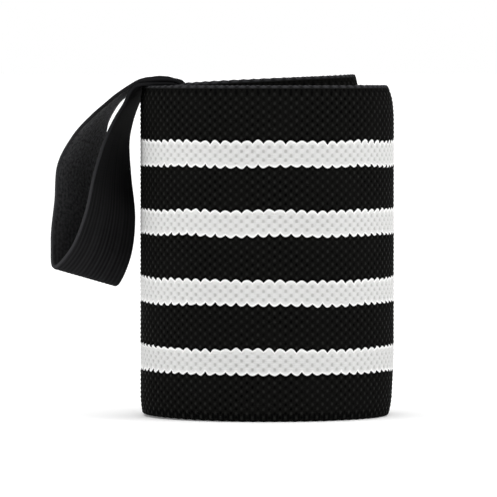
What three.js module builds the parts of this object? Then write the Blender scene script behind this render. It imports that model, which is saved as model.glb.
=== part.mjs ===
// A wrist wrap: a strip of striped elastic webbing wound into an open coil that stands on its edge,
// with a thumb loop of narrow elastic sewn inside the coil and hung over its rim.
// Millimetres, +Z up. The coil's axis is vertical and its front faces -Y.
import * as THREE from "three";

const GAP = 0.3;
const TURN = 360;

// The webbing. Its width is the height of the standing coil.
const BAND = {
  width: 80,
  thickness: 1.8,
  chamfer: 0.35,
  tuckHeight: 5,
  bottomTuck: 0.4,
  topTuck: 0.6,
};

// The coil in plan. Angles are degrees from +X, and grow along the strip from its inner end.
const ROLL = {
  axisX: -0.55,
  halfWidth: 30.25,
  frontDepth: 30.5,
  backDepth: 29,
  pitch: 2.15,
  innerEnd: 142.5,
  outerEnd: 1185,
  fullSize: 1080,
  step: 7.5,
  slack: 4,
  slackPower: 1.5,
  lift: 2.6,
  liftFrom: 180,
  liftTo: 540,
};

// The hook tape inside the outer end. Its angles are along the coil, and the webbing ramps up over it.
const PATCH = {
  spanAngle: 75,
  endAngle: 7.5,
  rampAngle: 22.5,
  thickness: 1.2,
  edgeMargin: 6,
};

// The thumb loop's elastic, and the rows that its middle line passes through.
// out: left of the coil's axis, back: away from the front, up: above the floor,
// turn: the width's angle about the vertical, dip: how far its back edge tips down, cup: hollow across.
const LOOP = { width: 20, thickness: 0.8, acrossSteps: 4, samplesPerRow: 4, back: 0.5 };

// Both ends lie in one stack, up the inside of the coil and over its rim. The second end lies on the
// first, and lean is the direction in which it does: 0 towards the coil's axis, 90 upwards.
const SEAT_ROWS = [
  { out: 21.3, up: 56.0, turn: 2, cup: 2.3, lean: 0 },
  { out: 21.3, up: 62.0, turn: 2, cup: 2.3, lean: 0 },
  { out: 21.0, up: 75.0, turn: 2, cup: 2.3, lean: 0 },
  { out: 20.3, up: 79.2, turn: 2, cup: 1.8, lean: 12 },
  { out: 21.6, up: 80.9, turn: 2, cup: 0.5, lean: 60 },
  { out: 24.8, up: 80.9, turn: 2, cup: 0, lean: 90 },
  { out: 29.0, up: 80.8, turn: 3, cup: 0, lean: 98 },
  { out: 31.8, up: 79.5, turn: 4, cup: 0, lean: 130 },
];

// Outside the coil the elastic hangs down, folds over at its lowest row and comes back up.
const HANGING_ROWS = [
  { out: 34.3, back: 1.0, up: 74.9, turn: 9, dip: 2 },
  { out: 36.0, back: 0.5, up: 68.2, turn: 15, dip: 3 },
  { out: 37.4, back: -0.8, up: 59.0, turn: 24, dip: 4 },
  { out: 38.1, back: -2.2, up: 48.0, turn: 36, dip: 5 },
  { out: 40.4, back: -2.0, up: 39.2, turn: 45, dip: 8 },
  { out: 44.2, back: 1.5, up: 34.0, turn: 51, dip: 14 },
  { out: 44.8, back: 5.5, up: 40.4, turn: 49, dip: 13 },
  { out: 45.0, back: 6.0, up: 50.4, turn: 38, dip: 10 },
  { out: 45.4, back: 5.5, up: 59.6, turn: 27, dip: 9 },
  { out: 43.8, back: 4.0, up: 67.0, turn: 17, dip: 7 },
  { out: 41.0, back: 2.6, up: 72.2, turn: 11, dip: 5 },
  { out: 36.9, back: 1.6, up: 76.4, turn: 6, dip: 3 },
];

const FINISH = {
  webbing: { color: 0x141416, roughness: 0.85, metalness: 0 },
  elastic: { color: 0x1b1b1d, roughness: 0.7, metalness: 0 },
  hookTape: { color: 0x101012, roughness: 0.6, metalness: 0 },
};

const rad = THREE.MathUtils.degToRad;

// A closed solid through rings of points, each ring turning the same way and closed at both ends of the row.
function loft(rings) {
  const count = rings[0].length;
  const flat = rings.flat().flatMap((point) => [point.x, point.y, point.z]);
  const index = [];
  for (let ring = 0; ring < rings.length - 1; ring++) {
    for (let side = 0; side < count; side++) {
      const next = (side + 1) % count;
      const a = ring * count + side;
      const b = ring * count + next;
      index.push(a, a + count, b, b, a + count, b + count);
    }
  }
  return { flat, index, count };
}

// The loft's two ends are closed by strips between the ring's two long sides, which mirror each other.
function closedLoft(rings) {
  const { flat, index, count } = loft(rings);
  const last = (rings.length - 1) * count;
  for (let low = 0; low < count / 2 - 1; low++) {
    const high = count - 1 - low;
    index.push(low, low + 1, high, low + 1, high - 1, high);
    index.push(last + low, last + high, last + low + 1);
    index.push(last + low + 1, last + high, last + high - 1);
  }
  const geometry = new THREE.BufferGeometry();
  geometry.setAttribute("position", new THREE.Float32BufferAttribute(flat, 3));
  geometry.setIndex(index);
  geometry.computeVertexNormals();
  return geometry;
}

// How loose the innermost turn is, from 0 at the inner end to 1 half a turn on and back to 0.
function looseness(angle) {
  const along = angle - ROLL.innerEnd;
  return along < TURN ? ((1 - Math.cos(rad(along))) / 2) ** ROLL.slackPower : 0;
}

// The innermost turn stands proud at its right side, where it was pushed up through the coil.
function liftAt(angle) {
  const within = angle > ROLL.liftFrom && angle < ROLL.liftTo;
  return within ? (ROLL.lift * (1 + Math.cos(rad(angle)))) / 2 : 0;
}

const patchEnd = ROLL.outerEnd - PATCH.endAngle;
const patchStart = patchEnd - PATCH.spanAngle;
const patchRoom = PATCH.thickness + GAP;

// The strip's middle line in plan, at one angle, moved off it by a distance away from the axis.
function rollPoint(angle, offset, height) {
  const ramp = THREE.MathUtils.smoothstep(angle, patchStart - PATCH.rampAngle, patchStart);
  const inset =
    (ROLL.pitch * (ROLL.fullSize - angle)) / TURN + ROLL.slack * looseness(angle) - patchRoom * ramp;
  const along = Math.cos(rad(angle));
  const across = Math.sin(rad(angle));
  const depth = across < 0 ? ROLL.frontDepth : ROLL.backDepth;
  const outward = new THREE.Vector2(along / ROLL.halfWidth, across / depth).normalize();
  return new THREE.Vector3(
    ROLL.axisX + (ROLL.halfWidth - inset) * along + outward.x * offset,
    (depth - inset) * across + outward.y * offset,
    height + liftAt(angle),
  );
}

// A strip wound along the coil between two angles, with the same section all the way.
function wound(fromAngle, toAngle, section) {
  const steps = Math.round((toAngle - fromAngle) / ROLL.step);
  const rings = [];
  for (let step = 0; step <= steps; step++) {
    const angle = fromAngle + ((toAngle - fromAngle) * step) / steps;
    rings.push(section.map(({ offset, height }) => rollPoint(angle, offset, height)));
  }
  return closedLoft(rings);
}

// The webbing's section: flat faces, selvedges that curl slightly inwards, and chamfered edges.
function bandSection() {
  const { width, chamfer, tuckHeight, bottomTuck, topTuck } = BAND;
  const half = BAND.thickness / 2;
  const heights = [
    { height: 0, tuck: bottomTuck, half: half - chamfer },
    { height: chamfer, tuck: bottomTuck, half },
    { height: tuckHeight, tuck: 0, half },
    { height: width - tuckHeight, tuck: 0, half },
    { height: width - chamfer, tuck: topTuck, half },
    { height: width, tuck: topTuck, half: half - chamfer },
  ];
  const outer = heights.map((row) => ({ offset: row.half - row.tuck, height: row.height }));
  const inner = heights.map((row) => ({ offset: -row.half - row.tuck, height: row.height }));
  return [...outer, ...inner.reverse()];
}

// The hook tape lies on the webbing's inner face.
function patchSection() {
  const near = -BAND.thickness / 2 - GAP;
  const far = near - PATCH.thickness;
  const bottom = PATCH.edgeMargin;
  const top = BAND.width - PATCH.edgeMargin;
  return [
    { offset: near, height: bottom },
    { offset: near, height: top },
    { offset: far, height: top },
    { offset: far, height: bottom },
  ];
}

// The rows of the whole loop: the first end's seat, the hanging part and the second end's seat.
function loopRows() {
  const stack = LOOP.thickness + GAP;
  const first = SEAT_ROWS.map((row) => ({ ...row, back: LOOP.back, dip: 0 }));
  const second = first.slice(1).map((row) => ({
    ...row,
    out: row.out - stack * Math.cos(rad(row.lean)),
    up: row.up + stack * Math.sin(rad(row.lean)),
    cup: -row.cup,
  }));
  const hanging = HANGING_ROWS.map((row) => ({ ...row, cup: 0 }));
  return [...first, ...hanging, ...second.reverse()];
}

// The loop's elastic, swept along its rows with its width turning from row to row.
function loopGeometry() {
  const rows = loopRows();
  const path = new THREE.CatmullRomCurve3(
    rows.map((row) => new THREE.Vector3(-row.out, row.back, row.up)),
  );
  const attitude = new THREE.CatmullRomCurve3(
    rows.map((row) => new THREE.Vector3(row.turn, row.dip, row.cup)),
  );
  const steps = (rows.length - 1) * LOOP.samplesPerRow;
  const rings = [];
  for (let step = 0; step <= steps; step++) {
    const t = step / steps;
    const { x: turn, y: dip, z: cup } = attitude.getPoint(t);
    const widthways = new THREE.Vector3(
      Math.sin(rad(turn)) * Math.cos(rad(dip)),
      Math.cos(rad(turn)) * Math.cos(rad(dip)),
      -Math.sin(rad(dip)),
    );
    const normal = path.getTangent(t).cross(widthways).normalize();
    rings.push(loopRing(path.getPoint(t), widthways, normal, cup));
  }
  return closedLoft(rings);
}

// One ring of the loop: across the width on one face, and back on the other.
function loopRing(centre, widthways, normal, cup) {
  const faces = [0.5, -0.5].map((side) => {
    const points = [];
    for (let step = 0; step <= LOOP.acrossSteps; step++) {
      const across = step / LOOP.acrossSteps - 0.5;
      const rise = cup * (1 - 4 * across * across) + side * LOOP.thickness;
      points.push(
        centre
          .clone()
          .addScaledVector(widthways, across * LOOP.width)
          .addScaledVector(normal, rise),
      );
    }
    return points;
  });
  return [...faces[0], ...faces[1].reverse()];
}

function piece(name, geometry, finish) {
  const mesh = new THREE.Mesh(geometry, new THREE.MeshStandardMaterial(finish));
  mesh.name = name;
  return mesh;
}

const coil = new THREE.Group();
coil.add(
  piece("wrap_band", wound(ROLL.innerEnd, ROLL.outerEnd, bandSection()), FINISH.webbing),
  piece("hook_patch", wound(patchStart, patchEnd, patchSection()), FINISH.hookTape),
  piece("thumb_loop", loopGeometry(), FINISH.elastic),
);

// The part's origin is on the floor, under the middle of the whole outline.
const outline = new THREE.Box3().setFromObject(coil);
const middle = outline.getCenter(new THREE.Vector3());
coil.position.set(-middle.x, -middle.y, -outline.min.z);

const part = new THREE.Group();
part.add(coil);

export default part;
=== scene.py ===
# %% [markdown]
# # A rolled wrist wrap
#
# The real object is a strip of thick elastic webbing, black with white stripes along it, that is wound
# into an open coil and stood on its edge. A loop of narrow ribbed elastic for the thumb is sewn to its
# inner end and hangs over the rim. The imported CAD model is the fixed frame: it gives each piece its
# place and its size, and this lesson dresses it with woven cloth.

# %% Load the frame
import math

import bpy
import numpy as np
from mathutils import Matrix, Vector


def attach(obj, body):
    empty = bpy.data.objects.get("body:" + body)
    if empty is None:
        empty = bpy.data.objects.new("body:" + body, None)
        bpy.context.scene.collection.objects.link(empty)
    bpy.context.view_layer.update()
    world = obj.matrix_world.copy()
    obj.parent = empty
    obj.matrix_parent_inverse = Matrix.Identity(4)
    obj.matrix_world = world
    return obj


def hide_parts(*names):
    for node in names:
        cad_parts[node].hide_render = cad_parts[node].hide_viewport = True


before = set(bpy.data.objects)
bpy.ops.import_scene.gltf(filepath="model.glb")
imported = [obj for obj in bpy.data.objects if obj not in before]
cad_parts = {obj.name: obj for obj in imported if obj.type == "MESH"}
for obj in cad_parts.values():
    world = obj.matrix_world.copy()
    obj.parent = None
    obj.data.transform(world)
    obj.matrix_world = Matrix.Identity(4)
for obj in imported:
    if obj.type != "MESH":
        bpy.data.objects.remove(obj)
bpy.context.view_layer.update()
bpy.ops.object.select_all(action="DESELECT")

MM = 0.001

# %% [markdown]
# ## The camera
#
# The camera comes first, so that every later look is judged from the right place. The object was
# photographed from far away with a long lens: its sides stay upright and its rims are nearly straight
# lines. The lens is far enough above the floor to look just over the rim.

# %% Place the camera
EYE = Vector((6.35, -1450.5, 84.5)) * MM
AIM = Vector((6.35, -0.5, 40.42)) * MM
LENS, SENSOR = 433.2, 36
FARTHEST = 100

bpy.ops.object.camera_add(location=EYE)
camera = bpy.context.object
camera.name = "photo_camera"
camera.rotation_euler = (AIM - EYE).to_track_quat("-Z", "Y").to_euler()
camera.data.lens = LENS
camera.data.sensor_width = SENSOR
camera.data.clip_end = FARTHEST
bpy.context.scene.camera = camera
print("camera tilt in degrees:", round(90 - math.degrees(camera.rotation_euler.x), 2))

# %% [markdown]
# ## The strip's path
#
# Webbing doesn't stretch when it is rolled, so the strip is drawn flat first, in millimetres along its
# length and across its width, and each point is then carried to its place in the coil. The coil is a
# spiral in plan. Its innermost turn is slack and pushed up at the right, and its last part rides up
# over the hook tape. A Curve modifier could bend a flat strip as well, but a formula also gives the
# tape, the seams and the thread their places. Most of these sizes are the CAD model's. How the lift at
# the right begins and the slight rise at the left are shaped more closely to the photograph.

# %% Draw the spiral
# Lengths are in mm. Angles are in degrees from +X, and grow along the strip from its inner end.
BAND_WIDTH, BAND_THICK = 80.0, 1.8
TURN = 360
AXIS_X, AXIS_Y = 10.304, -0.538
HALF_WIDTH, FRONT_DEPTH, BACK_DEPTH = 30.25, 30.5, 29.0
PITCH = 2.15
INNER_END, OUTER_END, FULL_SIZE = 142.5, 1185.0, 1080.0
SLACK, SLACK_POWER = 4.0, 1.5
LIFT, LIFT_FROM, LIFT_TO = 2.6, 180.0, 540.0
LIFT_START, LIFT_POWER = 0.92, 0.65
LEFT_RISE = 0.4
PATCH_MARGIN, PATCH_SPAN, PATCH_RAMP = 7.5, 75.0, 22.5
PATCH_ROOM = 1.5
PATCH_END = OUTER_END - PATCH_MARGIN
PATCH_START = PATCH_END - PATCH_SPAN
PLAN_SAMPLES = 4171


def smooth(x):
    """Goes from 0 to 1 as x does, with a soft start and a soft stop."""
    x = np.clip(x, 0, 1)
    return x * x * (3 - 2 * x)


def inset(angle):
    """How far the strip's middle line lies inside the full-size turn, in mm."""
    along = angle - INNER_END
    weighting = np.where(along < TURN, ((1 - np.cos(np.radians(along))) / 2) ** SLACK_POWER, 0)
    ramp = smooth((angle - PATCH_START + PATCH_RAMP) / PATCH_RAMP)
    return PITCH * (FULL_SIZE - angle) / TURN + SLACK * weighting - PATCH_ROOM * ramp


def rolled(angle, offset, height):
    """Points of the coil, in mm: at plan angles in degrees, moved outwards by offset."""
    angle, offset, height = np.broadcast_arrays(angle, offset, height)
    along, across = np.cos(np.radians(angle)), np.sin(np.radians(angle))
    depth = np.where(across < 0, FRONT_DEPTH, BACK_DEPTH)
    steep = np.hypot(along / HALF_WIDTH, across / depth)
    lifted = (angle > LIFT_FROM) & (angle < LIFT_TO)
    rightwards = np.clip((along + LIFT_START) / (1 + LIFT_START), 0, 1) ** LIFT_POWER
    x = AXIS_X + (HALF_WIDTH - inset(angle)) * along + along / HALF_WIDTH / steep * offset
    y = AXIS_Y + (depth - inset(angle)) * across + across / depth / steep * offset
    z = height + np.where(lifted, LIFT * rightwards, 0)
    z = z + LEFT_RISE * (1 - height / BAND_WIDTH) * np.clip(-along, 0, 1) ** 2
    return np.stack([x, y, z], -1)


plan_angles = np.linspace(INNER_END, OUTER_END, PLAN_SAMPLES)
plan_line = rolled(plan_angles, 0, 0)[:, :2]
plan_lengths = np.append(0, np.cumsum(np.linalg.norm(np.diff(plan_line, axis=0), axis=1)))
BAND_LENGTH = float(plan_lengths[-1])


def angle_at(length):
    """The plan angle at a length along the strip. Past its ends, it goes on in the same direction."""
    past = np.clip(np.asarray(length) - BAND_LENGTH, 0, None) + np.clip(length, None, 0)
    return np.interp(length, plan_lengths, plan_angles) + np.degrees(past / HALF_WIDTH)


def length_at(angle):
    """The length along the strip at a plan angle, in mm."""
    return np.interp(angle, plan_angles, plan_lengths)


print("strip length in mm:", round(BAND_LENGTH, 1))

# %% [markdown]
# ## The weave
#
# Seen close, the webbing is a chequer of small rounded bumps and pits: each row of the weave is about a
# millimetre high, a bump and a pit share two and a half millimetres of it, and the next row is shifted
# by half of that. A bump texture alone would leave the cloth's outline straight and its light flat, so
# the bumps are real. The mesh has four points for each bump and pit along the strip and two for each
# row, which is the least that can show them.

# %% Work out the weave's height
WEAVE_COLUMNS, WEAVE_ROWS = 768, 77
STEP = BAND_LENGTH / WEAVE_COLUMNS
BUMP_PITCH = 4 * STEP
ROW_PITCH = BAND_WIDTH / WEAVE_ROWS
BUMP_HEIGHT, PIT_DEPTH = 0.14, 0.28
WEAVE_FADE = 1.6
UNEVEN = 0.3
# lengths in mm, along the strip and across it, of the two slow waves that make the weave uneven
UNEVEN_WAVES = ((7.1, 3.3), (17.3, -5.9))


def weave_height(length, height):
    """How far the cloth's surface stands out of its middle level, in mm."""
    fade = smooth(height / WEAVE_FADE) * smooth((BAND_WIDTH - height) / WEAVE_FADE)
    row = height / ROW_PITCH - 0.5
    cell = np.cos(2 * np.pi * length / BUMP_PITCH) * np.sin(np.pi * row)
    short, long = (np.sin(length / along + height / across) for along, across in UNEVEN_WAVES)
    uneven = 1 + UNEVEN * short * long
    return fade * uneven * np.where(cell > 0, BUMP_HEIGHT * cell, PIT_DEPTH * cell)


print("bump pitch and row height in mm:", round(BUMP_PITCH, 3), round(ROW_PITCH, 3))

# %% [markdown]
# A rolled strip doesn't stand quite straight. Its selvedges are woven tighter than its middle and curl
# in, a little all round and most at the right, where the roll has been squeezed. This could be sculpted
# on the finished mesh, but as a formula it also moves the tape and the seams.

# %% Curl the selvedges in
CURL_REACH, CURL_POWER = 5.0, 1.5
# for the top and the bottom selvedge: the curl's depth, and the squeeze's reach, depth and power
SELVEDGES = ((0.4, 10.0, 1.1, 2.5), (0.35, 16.0, 0.8, 1.5))


def tuck(angle, height):
    """How far the cloth curls in near its selvedges, in mm."""
    right = np.clip(np.cos(np.radians(angle)), 0, 1) ** 2
    curl, squeeze = 0, 0
    for away, (depth, reach, squeezed, power) in zip((BAND_WIDTH - height, height), SELVEDGES):
        curl = curl + depth * smooth(1 - away / CURL_REACH) ** CURL_POWER
        squeeze = squeeze + squeezed * np.clip(1 - away / reach, 0, 1) ** power
    return curl + right * squeeze


print("curl at the right rim in mm:", round(float(tuck(0, BAND_WIDTH)), 2))

# %% [markdown]
# ## The webbing
#
# The strip could be a plane with modifiers, but a roll needs its polygons where the eye goes. Only two
# surfaces can be seen: the outside of the last turn and the inside of the first. They get the full
# weave. The faces between the turns are hidden, so they get a few large polygons, and the two kinds are
# sewn together where nobody can look. A small class keeps the points, their flat places on the strip,
# which become the UV map, and the polygons between them.

# %% A class for cloth
SMOOTH_ANGLE = math.radians(60)


def stitch(first, second):
    """Polygons between two rows of vertices. One row may have several edges to one of the other's."""
    turned = len(first) < len(second)
    fine, coarse = (second, first) if turned else (first, second)
    count = (len(fine) - 1) // (len(coarse) - 1)
    made = []
    for edge in range(len(coarse) - 1):
        near = [int(v) for v in fine[edge * count : (edge + 1) * count + 1]]
        far = [int(coarse[edge + 1]), int(coarse[edge])]
        made.append((near + far)[:: -1 if turned else 1])
    return made


class Cloth:
    """Vertices in mm, their flat places on the strip, and the polygons between them."""

    def __init__(self):
        self.points, self.flat, self.faces, self.pages, self.count = [], [], [], [], 0

    def lay(self, points, length, height, through=0.0):
        """Adds points with their flat places, and returns their numbers in the same rows."""
        shape = points.shape[:-1]
        self.points.append(points.reshape(-1, 3))
        flat = np.stack(np.broadcast_arrays(length, height, through), -1)
        self.flat.append(flat.reshape(-1, 3))
        first = self.count
        self.count += len(self.points[-1])
        return np.arange(first, self.count).reshape(shape)

    def add_faces(self, faces, page=0):
        self.faces += faces
        self.pages += [page] * len(faces)

    def sew(self, first, second, page=0):
        self.add_faces(stitch(first, second), page)

    def sew_grid(self, grid, page=0):
        for first, second in zip(grid, grid[1:]):
            self.sew(first, second, page)

    def to_object(self, name, uv_name):
        """Makes the mesh object, with the flat places as a UV map in metres."""
        mesh = bpy.data.meshes.new(name)
        mesh.from_pydata((np.concatenate(self.points) * MM).tolist(), [], self.faces)
        corners = np.zeros(len(mesh.loops), np.int32)
        mesh.loops.foreach_get("vertex_index", corners)
        flat = np.concatenate(self.flat)[corners, :2] * MM
        mesh.uv_layers.new(name=uv_name).uv.foreach_set("vector", flat.astype(np.float32).ravel())
        made = bpy.data.objects.new(name, mesh)
        bpy.context.collection.objects.link(made)
        bpy.ops.object.select_all(action="DESELECT")
        made.select_set(True)
        bpy.context.view_layer.objects.active = made
        bpy.ops.object.mode_set(mode="EDIT")
        bpy.ops.mesh.select_all(action="SELECT")
        bpy.ops.mesh.normals_make_consistent(inside=False)
        bpy.ops.object.mode_set(mode="OBJECT")
        bpy.ops.object.shade_smooth_by_angle(angle=SMOOTH_ANGLE)
        return made


print("ready to sew")

# %% [markdown]
# The two faces are grids of points along the strip and across it. Each polygon also notes the page of
# the cutting plan that it belongs to, which is drawn further on.

# %% Lay the faces of the strip
OUTSIDE, INSIDE, OUTER_WINDINGS, INNER_WINDINGS, TOP_RIM, BOTTOM_RIM, FIRST_END, LAST_END = range(8)
HIDDEN_COLUMNS, HIDDEN_ROWS = 8, 11
RIM_HEIGHT = 0.45
# a turn and a little more, so that the coarse polygons start out of sight
SHOWN_ANGLE = 375
SHOWN_FROM = int(length_at(OUTER_END - SHOWN_ANGLE) / STEP) // HIDDEN_COLUMNS * HIDDEN_COLUMNS
SHOWN_TO = int(length_at(INNER_END + SHOWN_ANGLE) / STEP) // HIDDEN_COLUMNS * HIDDEN_COLUMNS

cloth = Cloth()
row_heights = np.clip(np.arange(2 * WEAVE_ROWS + 1) * ROW_PITCH / 2, RIM_HEIGHT, BAND_WIDTH - RIM_HEIGHT)


def lay_face(columns, rows, side, woven):
    """A grid of one face of the strip: side is 1 outside and -1 inside, woven is 1 with the weave."""
    length = columns[:, None] * STEP
    height = row_heights[rows][None, :]
    angle = angle_at(length)
    out = side * (BAND_THICK / 2 + woven * weave_height(length, height)) - tuck(angle, height)
    return cloth.lay(rolled(angle, out, height), length, height, (1 - side) * BAND_THICK / 2)


fine_rows = np.arange(2 * WEAVE_ROWS + 1)
coarse_rows = fine_rows[::HIDDEN_ROWS]
shown_out = lay_face(np.arange(SHOWN_FROM, WEAVE_COLUMNS + 1), fine_rows, 1, 1)
hidden_out = lay_face(np.arange(0, SHOWN_FROM, HIDDEN_COLUMNS), coarse_rows, 1, 0)
shown_in = lay_face(np.arange(SHOWN_TO + 1), fine_rows, -1, 1)
hidden_in = lay_face(
    np.arange(SHOWN_TO + HIDDEN_COLUMNS, WEAVE_COLUMNS + 1, HIDDEN_COLUMNS), coarse_rows, -1, 0
)
for page, grid in enumerate((shown_out, shown_in, hidden_out, hidden_in)):
    cloth.sew_grid(grid, page)
cloth.sew(hidden_out[-1], shown_out[0], OUTSIDE)
cloth.sew(shown_in[-1], hidden_in[0], INSIDE)
cloth.sew(hidden_out[0], shown_in[0], FIRST_END)
cloth.sew(shown_out[-1], hidden_in[-1], LAST_END)
print("points laid:", cloth.count)

# %% [markdown]
# The rims are rounded over, as a selvedge is, and each thread that turns back there leaves a small
# bump. At the left the thumb loop lies on the rim and presses it flat. With the rims and their four
# corners sewn on, the strip is one closed mesh.

# %% Sew the rims and make the object
RIM_TURNS = (45, 90, 135)
RIM_BUMPS, PRESSED = 0.2, 0.87
# where the loop's part of the rim begins, as the cosine of its angle from the left, and how softly
LOOP_SIDE, LOOP_FADE = 0.82, 0.06


def lay_rim(base, rise):
    """Rows of points over one rim, from the outer face to the inner one."""
    length = np.arange(WEAVE_COLUMNS + 1) * STEP
    angle = angle_at(length)
    bumps = 1 + RIM_BUMPS * np.cos(2 * np.pi * length / BUMP_PITCH)
    if rise > 0:
        under_loop = smooth((-np.cos(np.radians(angle)) - LOOP_SIDE) / LOOP_FADE)
        bumps = bumps + (PRESSED - bumps) * under_loop
    made = []
    for turned in np.radians(RIM_TURNS):
        height = base + rise * bumps * math.sin(turned)
        out = BAND_THICK / 2 * math.cos(turned)
        place = rolled(angle, out - tuck(angle, base), height)
        made.append(cloth.lay(place, length, base + rise, BAND_THICK / 2 - out))
    return made


for page, row, rise in ((TOP_RIM, -1, RIM_HEIGHT), (BOTTOM_RIM, 0, -RIM_HEIGHT / (1 + RIM_BUMPS))):
    rim = lay_rim(row_heights[row], rise)
    cloth.sew_grid(rim, page)
    cloth.sew(rim[0][: SHOWN_FROM + 1], [*hidden_out[:, row], shown_out[0, row]], page)
    cloth.sew(rim[0][SHOWN_FROM:], shown_out[:, row], page)
    cloth.sew(rim[-1][: SHOWN_TO + 1], shown_in[:, row], page)
    cloth.sew(rim[-1][SHOWN_TO:], [shown_in[-1, row], *hidden_in[:, row]], page)
    first_cap = [hidden_out[0, row], *[line[0] for line in rim], shown_in[0, row]]
    last_cap = [shown_out[-1, row], *[line[-1] for line in rim], hidden_in[-1, row]]
    cloth.add_faces([[int(v) for v in first_cap]], FIRST_END)
    cloth.add_faces([[int(v) for v in last_cap]], LAST_END)

webbing = cloth.to_object("striped_webbing", "strip")
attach(webbing, "root")
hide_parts("wrap_band")
print("webbing polygons:", len(webbing.data.polygons))

# %% [markdown]
# Other programs can't run Blender's nodes, so for them the finish has to be baked into an image, through
# a UV map in which no two polygons overlap. Blender can lay one out by itself, but it would cut this
# roll into scraps. The strip knows where each point lies when it is flat, so the map is drawn as a
# cutting plan: a page for each side of the strip, and nearly all the room for the two that show. The
# inner pages are turned over, so that none is mirrored.

# %% Draw the cutting plan for baking
shown_start, shown_stop = (SHOWN_FROM - HIDDEN_COLUMNS) * STEP, (SHOWN_TO + HIDDEN_COLUMNS) * STEP
# axes of the page, where it starts and stops on the strip in mm, and two corners of its place in the map
PLAN = {
    OUTSIDE: ((0, 1), (shown_start, 0), (BAND_LENGTH, BAND_WIDTH), (0.005, 0.005), (0.955, 0.43)),
    INSIDE: ((0, 1), (0, 0), (shown_stop, BAND_WIDTH), (0.955, 0.44), (0.005, 0.8)),
    OUTER_WINDINGS: ((0, 1), (0, 0), (shown_start, BAND_WIDTH), (0.005, 0.81), (0.955, 0.88)),
    INNER_WINDINGS: ((0, 1), (shown_stop, 0), (BAND_LENGTH, BAND_WIDTH), (0.955, 0.89), (0.005, 0.96)),
    TOP_RIM: ((0, 2), (0, 0), (BAND_LENGTH, BAND_THICK), (0.005, 0.965), (0.955, 0.978)),
    BOTTOM_RIM: ((0, 2), (0, 0), (BAND_LENGTH, BAND_THICK), (0.955, 0.983), (0.005, 0.996)),
    FIRST_END: ((2, 1), (0, 0), (BAND_THICK, BAND_WIDTH), (0.978, 0.005), (0.965, 0.43)),
    LAST_END: ((2, 1), (0, 0), (BAND_THICK, BAND_WIDTH), (0.983, 0.005), (0.996, 0.43)),
}

corners = np.zeros(len(webbing.data.loops), np.int32)
webbing.data.loops.foreach_get("vertex_index", corners)
corner_flat = np.concatenate(cloth.flat)[corners]
corner_page = np.repeat(cloth.pages, [len(face) for face in cloth.faces])
plan = np.zeros((len(corners), 2), np.float32)
for page, (axes, start, stop, low, high) in PLAN.items():
    here = corner_page == page
    share = (corner_flat[here][:, axes] - start) / np.subtract(stop, start)
    plan[here] = low + share * np.subtract(high, low)
webbing.data.uv_layers.new(name="OFBake", do_init=False).uv.foreach_set("vector", plan.ravel())
print("cutting plan fits the map:", bool(plan.min() >= 0 and plan.max() <= 1))

# %% [markdown]
# ## The thumb loop
#
# The loop is one strip of narrow elastic. Both its ends lie on each other inside the coil. The strip
# goes up the wall, over the rim, down outside, folds round at the bottom and comes back the same way,
# and its width turns as it goes. A cloth simulation could hang a strip over the rim, but it wouldn't
# fold it just as it was photographed, so the strip is drawn through rows. They are close to those of
# the CAD model, but pressed down on the rim and on each other, as cloth is. Each gives a place in mm,
# the width's turn about the vertical in degrees, and how far the strip is dipped or cupped there.
# Where the two ends are stacked, lean is the direction in which the second one lies on the first.

# %% Rows of the loop
LOOP_WIDTH, LOOP_THICK, LOOP_GAP = 20.0, 0.9, 0.06
LOOP_BACK = 0.5
LOOP_AXIS_X = 10.854
# out, up, turn, cup, lean
SEAT_ROWS = (
    (21.1, 56.0, 2, 2.4, 0),
    (21.1, 62.0, 2, 2.4, 0),
    (21.0, 75.0, 2, 2.4, 0),
    (20.65, 78.6, 2, 2.5, 10),
    (21.7, 80.2, 2, 1.35, 45),
    (23.8, 80.36, 2, -0.35, 75),
    (26.0, 80.36, 2, -0.5, 88),
    (27.8, 80.36, 3, -0.3, 92),
    (29.3, 80.34, 4, -0.1, 98),
)
# out, back, up, turn, dip
HANGING_ROWS = (
    (30.7, 0.5, 79.9, 6, 0),
    (31.6, 0.6, 78.5, 8, 0),
    (33.0, 1.0, 75.4, 8, 1),
    (34.7, 0.8, 71.8, 10.5, 2),
    (36.3, 0.4, 67.0, 14.5, 3),
    (37.4, -0.8, 59.0, 24, 4),
    (38.1, -2.2, 48.0, 36, 5),
    (40.4, -2.0, 39.2, 45, 8),
    (44.2, 1.5, 33.7, 51, 14),
    (45.0, 5.5, 40.4, 49, 13),
    (45.3, 6.0, 50.4, 38, 10),
    (45.75, 5.5, 59.6, 28.5, 9),
    (43.1, 4.0, 67.0, 20, 7),
    (40.6, 2.6, 71.93, 10, 3.4),
    (37.0, 1.6, 76.2, 6.6, -0.5),
    (34.3, 1.0, 78.3, 6, 0),
)


def loop_rows():
    """Places and attitudes (turn, dip, cup) of all rows, from the first end to the second."""
    places, attitudes = [], []
    for out, up, turn, cup, _ in SEAT_ROWS:
        places.append((-out, LOOP_BACK, up))
        attitudes.append((turn, 0, cup))
    for out, back, up, turn, dip in HANGING_ROWS:
        places.append((-out, back, up))
        attitudes.append((turn, dip, 0))
    stack = LOOP_THICK + LOOP_GAP
    for out, up, turn, cup, lean in SEAT_ROWS[:0:-1]:
        lean = math.radians(lean)
        places.append((stack * math.cos(lean) - out, LOOP_BACK, up + stack * math.sin(lean)))
        attitudes.append((turn, 0, -cup))
    return np.array(places), np.array(attitudes)


loop_places, loop_attitudes = loop_rows()
print("rows of the loop:", len(loop_places))

# %% [markdown]
# A smooth curve is drawn through the rows. A Catmull-Rom curve passes through every one of them, and
# the centripetal kind doesn't overshoot where two rows are close together, as they are on the rim.

# %% Draw a smooth line through the rows
LOOP_SAMPLES = 2001
TINY = 1e-4


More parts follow.
